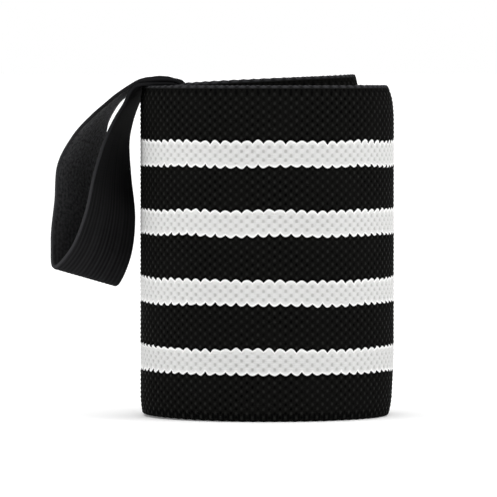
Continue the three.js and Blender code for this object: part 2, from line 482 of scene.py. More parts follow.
def curve_through(rows, at):
    """A centripetal Catmull-Rom curve through rows, at parameters from 0 to 1."""
    last = len(rows) - 1
    padded = np.vstack([2 * rows[0] - rows[1], rows, 2 * rows[-1] - rows[-2]])
    span = np.minimum((at * last).astype(int), last - 1)
    w = (at * last - span)[:, None]
    p0, p1, p2, p3 = (padded[span + k] for k in range(4))
    pairs = (p0, p1), (p1, p2), (p2, p3)
    d0, d1, d2 = (np.sqrt(np.linalg.norm(b - a, axis=1))[:, None] for a, b in pairs)
    d1 = np.where(d1 < TINY, 1, d1)
    d0 = np.where(d0 < TINY, d1, d0)
    d2 = np.where(d2 < TINY, d1, d2)
    t1 = d1 * ((p1 - p0) / d0 - (p2 - p0) / (d0 + d1) + (p2 - p1) / d1)
    t2 = d1 * ((p2 - p1) / d1 - (p3 - p1) / (d1 + d2) + (p3 - p2) / d2)
    return p1 + w * t1 + w**2 * (3 * (p2 - p1) - 2 * t1 - t2) + w**3 * (2 * (p1 - p2) + t1 + t2)


fine_at = np.linspace(0, 1, LOOP_SAMPLES)
fine_line = curve_through(loop_places, fine_at)
loop_lengths = np.append(0, np.cumsum(np.linalg.norm(np.diff(fine_line, axis=0), axis=1)))
LOOP_LENGTH = float(loop_lengths[-1])


def loop_points(length, across, side, rise=0.0):
    """Points of the loop, in mm: at a length along it, across its width and on one of its faces."""
    length, across, side, rise = np.broadcast_arrays(length, across, side, rise)
    at = np.interp(length.ravel(), loop_lengths, fine_at)
    centre = curve_through(loop_places, at)
    turn, dip, cup = curve_through(loop_attitudes, at).T
    turn, dip = np.radians(turn), np.radians(dip)
    widthways = np.stack([np.sin(turn) * np.cos(dip), np.cos(turn) * np.cos(dip), -np.sin(dip)], 1)
    near = curve_through(loop_places, np.clip(at - TINY, 0, 1))
    far = curve_through(loop_places, np.clip(at + TINY, 0, 1))
    normal = np.cross(far - near, widthways)
    normal /= np.linalg.norm(normal, axis=1)[:, None]
    share = across.ravel() / LOOP_WIDTH
    up = cup * (1 - 4 * share**2) + side.ravel() * (LOOP_THICK / 2) + np.sign(side.ravel()) * rise.ravel()
    made = centre + widthways * across.ravel()[:, None] + normal * up[:, None]
    made += (LOOP_AXIS_X, AXIS_Y, 0)
    return made.reshape(*length.shape, 3)


print("loop length in mm:", round(LOOP_LENGTH, 1))

# %% [markdown]
# The elastic's section has a flat rib over each rubber thread, too low to cast a shadow but enough to
# catch the light, and round edges. It is swept along the line. The polygons of the face that lies inside
# the loop are marked with an attribute, because that face of the elastic is brushed.

# %% Sweep the elastic
LOOP_STEPS = 172
RIBS, RIB_POINTS = 16, 4
RIB_HEIGHT = 0.03
EDGE_ROUND = 0.35


def ring_of_loop():
    """The section as (across, side, rise): along one face, round the edge, back and round the other."""
    half = LOOP_WIDTH / 2 - EDGE_ROUND
    across = np.linspace(-half, half, RIB_POINTS * RIBS + 1)
    ribs = RIB_HEIGHT * np.cos(2 * np.pi * RIBS * (across + half) / (2 * half))
    turned = np.radians(RIM_TURNS)
    face = [(a, 1, r) for a, r in zip(across, -ribs)]
    edge = [(half + EDGE_ROUND * math.sin(t), math.cos(t), 0) for t in turned]
    return np.array(face + edge + [(-a, -s, r) for a, s, r in face] + [(-a, -s, r) for a, s, r in edge])


ring = ring_of_loop()
elastic = Cloth()
lengths = np.linspace(0, LOOP_LENGTH, LOOP_STEPS + 1)[:, None]
across, side, rise = ring.T[:, None]
grid = elastic.lay(loop_points(lengths, across, side, rise), across, lengths)
elastic.sew_grid(np.hstack([grid, grid[:, :1]]))
elastic.add_faces([grid[0].tolist(), grid[-1].tolist()])
thumb_loop = elastic.to_object("thumb_elastic", "strap")

to_next = np.roll(side, -1, axis=1)
inner_side = np.where((side == -1) & (to_next == -1), 1.0, 0.0).ravel()
brushed_faces = np.append(np.tile(inner_side, LOOP_STEPS), (0.0, 0.0))
brushed = thumb_loop.data.attributes.new("brushed", "FLOAT", "FACE")
brushed.data.foreach_set("value", brushed_faces.astype(np.float32))
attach(thumb_loop, "root")
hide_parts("thumb_loop")
print("loop polygons:", len(thumb_loop.data.polygons))

# %% [markdown]
# ## The hook tape
#
# A patch of hook tape inside the outer end holds the roll shut. It lies between two turns, so hardly
# any of it shows. Thousands of single hooks would be polygons that nobody sees, so it is a rolled sheet
# with rows of small ridges on its inner side, and the material draws the hooks.

# %% Roll the hook tape
TAPE_MARGIN = 6.0
TAPE_THICK, TAPE_GAP = 1.2, 0.3
TAPE_STEPS, TAPE_ROWS = 60, 68
RIDGE = 0.15

tape = Cloth()
tape_angles = np.linspace(PATCH_START, PATCH_END, TAPE_STEPS + 1)[:, None]
tape_heights = np.linspace(TAPE_MARGIN, BAND_WIDTH - TAPE_MARGIN, TAPE_ROWS + 1)[None, :]
tape_lengths = length_at(tape_angles)
tape_top = -BAND_THICK / 2 - TAPE_GAP - tuck(tape_angles, tape_heights)
hooks = tape_top - TAPE_THICK + RIDGE * (1 + np.cos(np.pi * np.arange(TAPE_STEPS + 1)))[:, None]
back_face = tape.lay(rolled(tape_angles, tape_top, tape_heights), tape_lengths, tape_heights)
hook_face = tape.lay(rolled(tape_angles, hooks, tape_heights), tape_lengths, tape_heights)
tape.sew_grid(back_face)
tape.sew_grid(hook_face)
for edge in (np.s_[0], np.s_[-1], np.s_[:, 0], np.s_[:, -1]):
    tape.sew(back_face[edge], hook_face[edge])
hook_tape = tape.to_object("hook_tape_patch", "tape")
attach(hook_tape, "root")
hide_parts("hook_patch")
print("hook tape polygons:", len(hook_tape.data.polygons))

# %% [markdown]
# ## Stitches
#
# Thread holds the pieces together. Painted on, it would look flat along the turn of the coil. A
# lockstitch shows as short grains of thread in a row, so one grain is modelled from a sphere a
# millimetre across, drawn out to the length of a stitch, and copied along the seams.

# %% Model one stitch
STITCH_WIDE, STITCH_THICK, STITCH_LENGTH = 0.575, 0.425, 2.3
UNIT_RADIUS = 0.5 * MM


def draw_out(size):
    """Draws the active shape, a millimetre across, out to a size in mm, and shades it smooth."""
    bpy.ops.object.mode_set(mode="EDIT")
    bpy.ops.mesh.select_all(action="SELECT")
    bpy.ops.transform.resize(value=size)
    bpy.ops.object.mode_set(mode="OBJECT")
    bpy.ops.object.shade_smooth()


bpy.ops.object.select_all(action="DESELECT")
bpy.ops.mesh.primitive_uv_sphere_add(segments=8, ring_count=6, radius=UNIT_RADIUS, location=(0, 0, 0))
one_stitch = bpy.context.object
one_stitch.name = "one_stitch"
draw_out((STITCH_WIDE, STITCH_THICK, STITCH_LENGTH))
print("stitch size in mm:", [round(side / MM, 2) for side in one_stitch.dimensions])

# %% [markdown]
# A seam is a line of corners on the flat cloth. Each of its stitches is turned to lie along the seam
# and on the surface, and all of them are then joined into one object.

# %% Place copies along a seam
STITCH_STEP = 2.7
# the part of each step in which the thread lies on top
STITCH_SHOWS = (0.08, 0.92)


def on_webbing(length, height, out):
    """A place over the webbing's outer face, in mm."""
    angle = angle_at(length)
    return Vector(rolled(angle, BAND_THICK / 2 + out - tuck(angle, height), height))


def on_loop_end(length, across, out):
    """A place over the loop's elastic, in mm."""
    return Vector(loop_points(length, across, 1, out))


def place_copy(shape, surface, start, end, out):
    """A copy of a shape with its Z axis from start to end on a surface and its Y axis through it."""
    first, last = surface(*start, out), surface(*end, out)
    along = (last - first).normalized()
    sideways = along.cross(surface(*start, out + 1) - first).normalized()
    turned = Matrix((sideways, along.cross(sideways), along)).transposed().to_4x4()
    mesh = shape.data.copy()
    mesh.transform(Matrix.Translation((first + last) / 2 * MM) @ turned)
    made = bpy.data.objects.new(shape.name + "_copy", mesh)
    bpy.context.collection.objects.link(made)
    return made


def stitches_along(surface, corners, out):
    """Copies of the stitch along a line of corners on a surface."""
    made = []
    for (a0, b0), (a1, b1) in zip(corners, corners[1:]):
        count = max(1, round(math.hypot(a1 - a0, b1 - b0) / STITCH_STEP))
        for step in range(count):
            ends = [(step + share) / count for share in STITCH_SHOWS]
            start, end = ((a0 + (a1 - a0) * t, b0 + (b1 - b0) * t) for t in ends)
            made.append(place_copy(one_stitch, surface, start, end, out))
    return made


def join_copies(copies, name):
    """Joins the copies into one object with its own name."""
    bpy.ops.object.select_all(action="DESELECT")
    for copy in copies:
        copy.select_set(True)
    bpy.context.view_layer.objects.active = copies[0]
    bpy.ops.object.join()
    copies[0].name = copies[0].data.name = name
    return copies[0]


print("ready to stitch")

# %% [markdown]
# The seam round the hook tape runs just inside its edge and comes through to the outside of the
# webbing. The loop's two ends are held by a box with a cross in it, as straps that are pulled usually
# are. Only the side that can be seen gets stitches.

# %% Stitch the hook tape and the loop
SEAM_MARGIN = 1.8
BOX_FROM, BOX_TO, BOX_SIDE = 14.5, 1.8, 7.8
TAPE_SEAM_OUT, BOX_SEAM_OUT = 0.1, 0.05

tape_left, tape_right = (float(length_at(a)) for a in (PATCH_START, PATCH_END))
left, right = tape_left + SEAM_MARGIN, tape_right - SEAM_MARGIN
low, high = TAPE_MARGIN + SEAM_MARGIN, BAND_WIDTH - TAPE_MARGIN - SEAM_MARGIN
tape_seam = ((left, low), (right, low), (right, high), (left, high), (left, low))
box_low, box_high = LOOP_LENGTH - BOX_FROM, LOOP_LENGTH - BOX_TO
box_seam = (
    (box_low, -BOX_SIDE),
    (box_high, -BOX_SIDE),
    (box_high, BOX_SIDE),
    (box_low, BOX_SIDE),
    (box_low, -BOX_SIDE),
    (box_high, BOX_SIDE),
)
cross_seam = ((box_low, BOX_SIDE), (box_high, -BOX_SIDE))

tape_stitches = join_copies(stitches_along(on_webbing, tape_seam, TAPE_SEAM_OUT), "hook_tape_stitches")
loop_copies = stitches_along(on_loop_end, box_seam, BOX_SEAM_OUT)
loop_copies += stitches_along(on_loop_end, cross_seam, BOX_SEAM_OUT)
loop_stitches = join_copies(loop_copies, "thumb_loop_stitches")
for stitches, slot in ((tape_stitches, "webbing"), (loop_stitches, "loop_elastic")):
    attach(stitches, "root")
print("stitch polygons:", len(tape_stitches.data.polygons), len(loop_stitches.data.polygons))

# %% [markdown]
# The strip's two cut ends would fray, so they are overlocked: a thread goes through the cloth a few
# millimetres in and round the cut edge, over and over. One long curve with a bevel could be wound along
# the edge, but copies of one wrap are lighter and follow the coil by themselves. Each is a thin ring,
# squared a little to hug the edge and drawn out across it. Half of it is inside the cloth, as the real
# thread is at its needle holes.

# %% Overlock the cut ends
WRAP_REACH, WRAP_STEP, WRAP_THREAD = 3.6, 1.6, 0.42
WRAP_ROOM, EDGE_ROOM = 0.3, 0.2
WRAP_TALL, WRAP_HALF = 2.2, 0.4
FIRST_WRAP, LAST_WRAP = 1.6, 1.2

bpy.ops.object.select_all(action="DESELECT")
bpy.ops.mesh.primitive_torus_add(
    major_segments=14,
    minor_segments=5,
    major_radius=UNIT_RADIUS,
    minor_radius=0.5 * WRAP_THREAD / WRAP_TALL * MM,
)
one_wrap = bpy.context.object
one_wrap.name = "one_wrap"
for vertex in one_wrap.data.vertices:
    around = math.atan2(vertex.co.y, vertex.co.x)
    vertex.co.xy *= (math.cos(around) ** 4 + math.sin(around) ** 4) ** -0.25
draw_out((WRAP_REACH, BAND_THICK + WRAP_ROOM, WRAP_TALL))

wraps = []
wrap_heights = np.arange(FIRST_WRAP, BAND_WIDTH - LAST_WRAP, WRAP_STEP).tolist()
for edge, inwards in ((0.0, 1), (BAND_LENGTH, -1)):
    middle = edge + inwards * (WRAP_REACH / 2 - EDGE_ROOM)
    for height in wrap_heights:
        start, end = ((middle, height + move) for move in (-WRAP_HALF, WRAP_HALF))
        wraps.append(place_copy(one_wrap, on_webbing, start, end, -BAND_THICK / 2))
overlock = join_copies(wraps, "overlocked_ends")
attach(overlock, "root")
bpy.data.objects.remove(one_stitch)
bpy.data.objects.remove(one_wrap)
print("overlock wraps:", len(wraps), "polygons:", len(overlock.data.polygons))

# %% [markdown]
# ## Materials
#
# Each finish is built from nodes. Colours are written as the sRGB hex values that a paint program
# shows, and one function turns them into the linear numbers that the shader works with. One more
# function adds a node, sets it and links it. Images could give the same looks, but nodes need no files
# and stay sharp at any distance.

# %% Small helpers for materials
# A Mix node has sockets A and B for each kind of value. These are the numbers of the two for colours.
A, B = 6, 7


def linear(hex_colour):
    """An sRGB hex colour as linear RGBA."""
    parts = [int(hex_colour[i : i + 2], 16) / 255 for i in (1, 3, 5)]
    return (*[c / 12.92 if c <= 0.04045 else ((c + 0.055) / 1.055) ** 2.4 for c in parts], 1)


def add_node(tree, kind, inputs=(), **settings):
    """Adds a node with its settings, and sets its inputs or links them to a node or an output."""
    made = tree.nodes.new("ShaderNode" + kind)
    for name, value in settings.items():
        setattr(made, name, value)
    for name, value in (inputs if isinstance(inputs, dict) else dict(enumerate(inputs))).items():
        if isinstance(value, bpy.types.Node):
            value = next(output for output in value.outputs if output.enabled)
        if isinstance(value, bpy.types.NodeSocket):
            tree.links.new(value, made.inputs[name])
        else:
            made.inputs[name].default_value = value
    return made


def new_material(name):
    """An empty node material and its tree."""
    made = bpy.data.materials.new(name)
    made.use_nodes = True
    made.node_tree.nodes.clear()
    return made, made.node_tree


print("white as linear:", linear("#FFFFFF"))

# %% [markdown]
# ### Striped elastic webbing
#
# The yarn is dull polyester wound round rubber. The material reads the strip's own UV map, which is in
# metres along the strip and across it, so the pattern follows the cloth round the coil and stays on the
# modelled bumps. First come the two waves of the weave: their product is 1 on a bump and -1 in a pit.
# Bumps and pits look shorter along the strip than half a wave, so a narrower product gives their
# colours.

# %% Webbing: the weave
webbing_material, tree = new_material("woven_polyester_elastic")
strip = add_node(tree, "UVMap", uv_map="strip")
flat = add_node(tree, "SeparateXYZ", [strip])
turns = add_node(tree, "Math", (flat.outputs[0], 2 * math.pi / (BUMP_PITCH * MM)), operation="MULTIPLY")
wave = add_node(tree, "Math", [turns], operation="COSINE")
rows = add_node(tree, "Math", (flat.outputs[1], 1 / (ROW_PITCH * MM), -0.5), operation="MULTIPLY_ADD")
row_turns = add_node(tree, "Math", (rows, math.pi), operation="MULTIPLY")
row_wave = add_node(tree, "Math", [row_turns], operation="SINE")
cell = add_node(tree, "Math", (wave, row_wave), operation="MULTIPLY")
wave_square = add_node(tree, "Math", (wave, wave), operation="MULTIPLY")
narrow = add_node(tree, "Math", (cell, wave_square), operation="MULTIPLY")
pit = add_node(tree, "MapRange", {"Value": narrow, "From Min": -0.2, "From Max": -0.8})
bump = add_node(tree, "MapRange", {"Value": narrow, "From Min": 0.05, "From Max": 0.85})
print("weave nodes:", len(tree.nodes))

# %% [markdown]
# Black yarn and white yarn swap places four times across the strip. Where they meet, the edge is a row
# of teeth, because each bump belongs to one yarn or the other: round on the white side, with narrow
# black notches between. The stripes also wander a little, and no two teeth are quite alike.

# %% Webbing: the stripes
TOOTH, TOOTH_MEAN = 0.38, 1.35
TOOTH_LEAST, TOOTH_MOST = 0.4 * TOOTH / ROW_PITCH, 1.6 * TOOTH / ROW_PITCH
STRIPE_MIDDLE, STRIPE_ROWS, STRIPE_PERIOD = 13.14, 5.75, 15.9
STRIPES_LOW, STRIPES_HIGH = 5, 70
WANDER, WANDER_LENGTH, TOOTH_LENGTH = 0.55, 22, 2.6

slow = {"Vector": strip, "Scale": 1 / (WANDER_LENGTH * MM), "Detail": 1.0}
drift = add_node(tree, "TexNoise", slow, noise_dimensions="2D")
wander = add_node(tree, "Math", (drift, 2 * WANDER, -WANDER), operation="MULTIPLY_ADD")
each_tooth = {"Vector": strip, "Scale": 1 / (TOOTH_LENGTH * MM), "Detail": 0.0}
chance = add_node(tree, "TexNoise", each_tooth, noise_dimensions="2D")
tooth = add_node(tree, "MapRange", {"Value": chance, "To Min": TOOTH_LEAST, "To Max": TOOTH_MOST})
peak_square = add_node(tree, "Math", (wave, -2, 2), operation="MULTIPLY_ADD")
peak = add_node(tree, "Math", [peak_square], operation="SQRT")
upper = add_node(tree, "Math", (peak, TOOTH_MEAN), operation="SUBTRACT")
dip_square = add_node(tree, "Math", (wave, 2, 2), operation="MULTIPLY_ADD")
dip = add_node(tree, "Math", [dip_square], operation="SQRT")
lower = add_node(tree, "Math", (TOOTH_MEAN, dip), operation="SUBTRACT")

moved = add_node(tree, "Math", (rows, wander), operation="SUBTRACT")
shifted = add_node(tree, "Math", (moved, STRIPE_MIDDLE - STRIPE_PERIOD / 2), operation="SUBTRACT")
folded = add_node(tree, "Math", (shifted, STRIPE_PERIOD), operation="FLOORED_MODULO")
centred = add_node(tree, "Math", (folded, STRIPE_PERIOD / 2), operation="SUBTRACT")
top_edge = add_node(tree, "Math", (tooth, upper, STRIPE_ROWS / 2), operation="MULTIPLY_ADD")
low_edge = add_node(tree, "Math", (tooth, lower, -STRIPE_ROWS / 2), operation="MULTIPLY_ADD")
room_above = add_node(tree, "Math", (top_edge, centred), operation="SUBTRACT")
room_below = add_node(tree, "Math", (centred, low_edge), operation="SUBTRACT")
room = add_node(tree, "Math", (room_above, room_below), operation="MINIMUM")
striped = add_node(tree, "MapRange", {"Value": room, "From Min": -0.1, "From Max": 0.1})
striped_part = (STRIPES_LOW + STRIPES_HIGH) / 2, (STRIPES_HIGH - STRIPES_LOW) / 2
inside = add_node(tree, "Math", (rows, *striped_part), operation="COMPARE")
white = add_node(tree, "Math", (striped, inside), operation="MULTIPLY")
print("white stripe in mm:", round(STRIPE_ROWS * ROW_PITCH, 2))

# %% [markdown]
# Then the yarns get their colours. Black yarn is nearly black, with painted shade in its pits and a
# painted highlight on its bumps. White yarn gets painted shade in its pits. The white yarn stands a
# little proud where it meets the black, so a painted highlight brightens its edge and painted shade
# darkens the black beside it.

# %% Webbing: the yarns
# The bump and edge colours are painted highlights, the pit and shade colours painted shade.
BLACK, BLACK_BUMP_HIGHLIGHT, BLACK_PIT_SHADE, BLACK_SHADE = "#10100F", "#212120", "#020202", "#010101"
WHITE, WHITE_PIT_SHADE, WHITE_EDGE_HIGHLIGHT = "#DEDEDD", "#BCBCBA", "#FAFAF9"
GRAIN_LENGTH, PATCH_LENGTH = 1.1, 9.0
BUMP_GAIN = 1.6
PIT_GAIN, PIT_LEAST = 1.2, 0.4

fine = {"Vector": strip, "Scale": 1 / (GRAIN_LENGTH * MM), "Detail": 2.0}
grain = add_node(tree, "TexNoise", fine, noise_dimensions="2D")
# A painted highlight lightens the black yarn's bumps, unevenly with the grain.
bump_highlight = add_node(tree, "Math", (bump, grain), operation="MULTIPLY")
brighter = add_node(tree, "Math", (bump_highlight, BUMP_GAIN), operation="MULTIPLY", use_clamp=True)
black_flat = add_node(
    tree, "Mix", {"Factor": brighter, A: linear(BLACK), B: linear(BLACK_BUMP_HIGHLIGHT)}, data_type="RGBA"
)
broad = {"Vector": strip, "Scale": 1 / (PATCH_LENGTH * MM), "Detail": 2.0}
patches = add_node(tree, "TexNoise", broad, noise_dimensions="2D")
# Painted shade darkens the black yarn's pits, more in some patches than in others.
pit_shade_patches = add_node(tree, "MapRange", {"Value": patches, "From Min": 0.3, "From Max": 0.65, "To Min": 0.35})
black_pit_shade = add_node(tree, "Math", (pit, pit_shade_patches), operation="MULTIPLY")
black_pitted = add_node(
    tree, "Mix", {"Factor": black_pit_shade, A: black_flat, B: linear(BLACK_PIT_SHADE)}, data_type="RGBA"
)
shade = add_node(tree, "MapRange", {"Value": room, "From Min": -0.9, "From Max": -0.1})
shaded = add_node(tree, "Math", (shade, inside), operation="MULTIPLY")
black_yarn = add_node(
    tree, "Mix", {"Factor": shaded, A: black_pitted, B: linear(BLACK_SHADE)}, data_type="RGBA"
)
# Painted shade greys the white yarn's pits.
hollow = add_node(tree, "MapRange", {"Value": narrow, "From Min": 0.15, "From Max": -0.75})
uneven = add_node(tree, "Math", (grain, PIT_GAIN, PIT_LEAST), operation="MULTIPLY_ADD")
white_pit_shade = add_node(tree, "Math", (hollow, uneven), operation="MULTIPLY", use_clamp=True)
white_pitted = add_node(
    tree, "Mix", {"Factor": white_pit_shade, A: linear(WHITE), B: linear(WHITE_PIT_SHADE)}, data_type="RGBA"
)
# A painted highlight brightens the white yarn's edge where it meets the black.
white_edge_highlight = add_node(tree, "MapRange", {"Value": room, "From Min": 0.75, "From Max": 0.15})
white_yarn = add_node(
    tree, "Mix", {"Factor": white_edge_highlight, A: white_pitted, B: linear(WHITE_EDGE_HIGHLIGHT)}, data_type="RGBA"
)
yarn = add_node(tree, "Mix", {"Factor": white, A: black_yarn, B: white_yarn}, data_type="RGBA")
print("yarn nodes:", len(tree.nodes))

# %% [markdown]
# Along the top selvedge, where the weft turns back, the rounded rim catches the light from above. A
# painted highlight draws it as a pale dashed line, with painted shade in a row of slots under it. Along
# the bottom one the weft makes fine upright ribs, with painted shade in the grooves between them.

# %% Webbing: the selvedges and the shader
RIM_LINE, SLOT_LINE, RIB_LINE = 0.75, 1.9, 2.0
RIM_HIGHLIGHT_GREY, SLOT_SHADE = "#343436", "#060606"
YARN_PITCH, FUZZ = 0.5, 1.5
RIBS_PER_BUMP = 2

height_mm = add_node(tree, "Math", (flat.outputs[1], 1 / MM), operation="MULTIPLY")
# Painted shade darkens a row of slots under the top rim and the grooves between the bottom ribs.
slot_middle = BAND_WIDTH - (RIM_LINE + SLOT_LINE) / 2
slot_band = add_node(tree, "Math", (height_mm, slot_middle, (SLOT_LINE - RIM_LINE) / 2), operation="COMPARE")
slot_wave = add_node(tree, "MapRange", {"Value": wave, "From Min": -0.4, "From Max": -0.9})
slots = add_node(tree, "Math", (slot_band, slot_wave), operation="MULTIPLY")
rib_band = add_node(tree, "Math", (height_mm, RIB_LINE), operation="LESS_THAN")
rib_turns = add_node(tree, "Math", (turns, RIBS_PER_BUMP), operation="MULTIPLY")
rib_wave = add_node(tree, "Math", [rib_turns], operation="COSINE")
rib_dark = add_node(tree, "MapRange", {"Value": rib_wave, "From Min": 0.2, "From Max": -0.7})
ribs = add_node(tree, "Math", (rib_band, rib_dark), operation="MULTIPLY")
slot_and_groove_shade = add_node(tree, "Math", (slots, ribs), operation="MAXIMUM")
lined = add_node(tree, "Mix", {"Factor": slot_and_groove_shade, A: yarn, B: linear(SLOT_SHADE)}, data_type="RGBA")
# A painted highlight draws a pale dashed line along the top rim.
rim_from, rim_to = BAND_WIDTH - RIM_LINE, BAND_WIDTH - RIM_LINE / 2
rim_band = add_node(tree, "MapRange", {"Value": height_mm, "From Min": rim_from, "From Max": rim_to})
rim_dash = add_node(tree, "MapRange", {"Value": wave, "From Min": -1.0, "From Max": 0.5, "To Min": 0.3})
rim_highlight = add_node(tree, "Math", (rim_band, rim_dash), operation="MULTIPLY")
colour = add_node(tree, "Mix", {"Factor": rim_highlight, A: lined, B: linear(RIM_HIGHLIGHT_GREY)}, data_type="RGBA")

# The yarn's own threads are about 0.2 mm, too fine to show, so they are drawn 0.5 mm wide.
yarn_turns = add_node(tree, "Math", (flat.outputs[1], 2 * math.pi / (YARN_PITCH * MM)), operation="MULTIPLY")
yarn_wave = add_node(tree, "Math", [yarn_turns], operation="SINE")
fuzz = add_node(tree, "Math", (grain, FUZZ, yarn_wave), operation="MULTIPLY_ADD")
relief = add_node(tree, "Bump", {"Strength": 0.25, "Distance": 0.06 * MM, "Height": fuzz})
# The bumps are rubbed smoother than the rest, so they catch a little more light.
polish = add_node(tree, "MapRange", {"Value": brighter, "To Min": 0.9, "To Max": 0.35})
shader = add_node(
    tree,
    "BsdfPrincipled",
    {"Base Color": colour, "Roughness": polish, "Specular IOR Level": 0.015, "IOR": 1.5, "Normal": relief},
)
add_node(tree, "OutputMaterial", {"Surface": shader})
webbing.data.materials.append(webbing_material)
print("webbing nodes:", len(tree.nodes))

# %% [markdown]
# ### Ribbed elastic
#
# The loop's elastic is knitted of black polyester over rubber threads. It is matt, with hardly any
# sheen, and has fine ribs and streaks along its length. They follow the strap's own UV map, in metres
# across it and along it. The ribs open up and show where the elastic is bent hard, towards the fold.
# Towards the rim it is darkened with painted shade, where the light from above would leave it too pale.

# %% Elastic: the ribs
ELASTIC, ELASTIC_RIB, ELASTIC_RIM_SHADE = "#181819", "#29292A", "#131314"
STREAK_WIDTH, STREAK_LENGTH = 0.9, 30.0
# shares of the loop's length: from its first end, and then from its fold
RIBS_FROM, RIBS_TO = 0.3, 0.45
RIM_SHADE_FROM, RIM_SHADE_TO = 0.12, 0.26

elastic_material, tree = new_material("ribbed_polyester_elastic")
strap = add_node(tree, "UVMap", uv_map="strap")
flat = add_node(tree, "SeparateXYZ", [strap])
rib_scale = 2 * math.pi * RIBS / ((LOOP_WIDTH - 2 * EDGE_ROUND) * MM)
rib_turns = add_node(tree, "Math", (flat.outputs[0], rib_scale), operation="MULTIPLY")
rib_wave = add_node(tree, "Math", [rib_turns], operation="COSINE")
stretched = add_node(
    tree, "Mapping", {"Vector": strap, "Scale": (1 / (STREAK_WIDTH * MM), 1 / (STREAK_LENGTH * MM), 1)}
)
along_strap = {"Vector": stretched, "Scale": 1.0, "Detail": 2.0}
streak = add_node(tree, "TexNoise", along_strap, noise_dimensions="2D")
bent = {"From Min": RIBS_FROM * LOOP_LENGTH * MM, "From Max": RIBS_TO * LOOP_LENGTH * MM}
opened = add_node(tree, "MapRange", {"Value": flat.outputs[1], **bent, "To Min": 0.1, "To Max": 0.35})
open_rib = add_node(tree, "Math", (rib_wave, opened), operation="MULTIPLY")
streaky = add_node(tree, "Math", (open_rib, streak), operation="ADD", use_clamp=True)
ribbed = {"Factor": streaky, A: linear(ELASTIC), B: linear(ELASTIC_RIB)}
knit = add_node(tree, "Mix", ribbed, data_type="RGBA")
past_fold = add_node(tree, "Math", (flat.outputs[1], LOOP_LENGTH / 2 * MM), operation="SUBTRACT")
from_fold = add_node(tree, "Math", [past_fold], operation="ABSOLUTE")
# Painted shade darkens the elastic towards the rim, on both strands.
rim_shade_span = {"From Min": RIM_SHADE_FROM * LOOP_LENGTH * MM, "From Max": RIM_SHADE_TO * LOOP_LENGTH * MM}
rim_shade = add_node(tree, "MapRange", {"Value": from_fold, **rim_shade_span})
knit = add_node(tree, "Mix", {"Factor": rim_shade, A: knit, B: linear(ELASTIC_RIM_SHADE)}, data_type="RGBA")
print("rib width in mm:", round((LOOP_WIDTH - 2 * EDGE_ROUND) / RIBS, 2))

# %% [markdown]
# Past the fold the elastic shows its other face, which is brushed, paler and speckled with fibres. Its
# paleness is partly a painted sheen, which grows from the fold up towards the rim. The fibres are far
# thinner than a millimetre, so the speckle is drawn coarser. The attribute that marks this face keeps
# the speckle off the other one.

# %% Elastic: the brushed face
BRUSHED_AND_SHEEN, FLEECE = "#646466", 0.8
# shares of the loop's length
BRUSHED_FROM, BRUSHED_TO, BRUSHED_END = 0.47, 0.78, 0.98

brush_lengths = [share * LOOP_LENGTH * MM for share in (BRUSHED_FROM, BRUSHED_TO, BRUSHED_END)]
begins = {"Value": flat.outputs[1], "From Min": brush_lengths[0], "From Max": brush_lengths[1]}
ends = {"Value": flat.outputs[1], "From Min": brush_lengths[2], "From Max": brush_lengths[1]}
brush_start = add_node(tree, "MapRange", begins)
brush_end = add_node(tree, "MapRange", ends)
# The brushed face is paler, and part of that is a painted sheen that grows from the fold towards the rim.
brush_and_sheen = add_node(tree, "Math", (brush_start, brush_end), operation="MINIMUM")
fleece_scale = {"Vector": strap, "Scale": 1 / (FLEECE * MM), "Detail": 2.0}
fleece = add_node(tree, "TexNoise", fleece_scale, noise_dimensions="2D")
speckle = add_node(tree, "MapRange", {"Value": fleece, "From Min": 0.3, "From Max": 0.7, "To Min": 0.3})
inner = add_node(tree, "Attribute", attribute_name="brushed")
speckled = add_node(tree, "Math", (inner.outputs["Fac"], speckle), operation="MULTIPLY")
brush_and_sheen = add_node(tree, "Math", (brush_and_sheen, speckled), operation="MULTIPLY")
knit = add_node(tree, "Mix", {"Factor": brush_and_sheen, A: knit, B: linear(BRUSHED_AND_SHEEN)}, data_type="RGBA")
print("brushed polygons:", int(brushed_faces.sum()))

# %% [markdown]
# A painted highlight runs along the two edges of the strap, where they catch the light, and shows less
# under the painted shade near the rim. The knit's stitches are about 0.4 mm long, too fine to show, so
# their relief is drawn longer.

# %% Elastic: the edges and the shader
ELASTIC_EDGE_HIGHLIGHT, EDGE_LINE, EDGE_BLUR = "#363638", 0.3, 0.1
KNIT_PITCH, KNIT_SHARE = 0.7, 0.4

from_middle = add_node(tree, "Math", [flat.outputs[0]], operation="ABSOLUTE")
edge_at = LOOP_WIDTH / 2 - EDGE_LINE
edge_range = {"From Min": (edge_at - EDGE_BLUR) * MM, "From Max": (edge_at + EDGE_BLUR) * MM}
# A painted highlight runs along the strap's two edges, and shows less under the painted shade.
strap_edge_highlight = add_node(tree, "MapRange", {"Value": from_middle, **edge_range})
weighting = add_node(tree, "MapRange", {"Value": rim_shade, "To Min": 1.0, "To Max": 0.25})
pale = add_node(tree, "Math", (strap_edge_highlight, weighting), operation="MULTIPLY")
colour = add_node(tree, "Mix", {"Factor": pale, A: knit, B: linear(ELASTIC_EDGE_HIGHLIGHT)}, data_type="RGBA")
knit_turns = add_node(tree, "Math", (flat.outputs[1], 2 * math.pi / (KNIT_PITCH * MM)), operation="MULTIPLY")
knit_wave = add_node(tree, "Math", [knit_turns], operation="SINE")
surface = add_node(tree, "Math", (knit_wave, KNIT_SHARE, rib_wave), operation="MULTIPLY_ADD")
relief = add_node(tree, "Bump", {"Strength": 0.2, "Distance": 0.05 * MM, "Height": surface})
shader = add_node(
    tree,
    "BsdfPrincipled",
    {"Base Color": colour, "Roughness": 0.55, "Specular IOR Level": 0.003, "IOR": 1.5, "Normal": relief},
)
add_node(tree, "OutputMaterial", {"Surface": shader})
thumb_loop.data.materials.append(elastic_material)
print("elastic nodes:", len(tree.nodes))

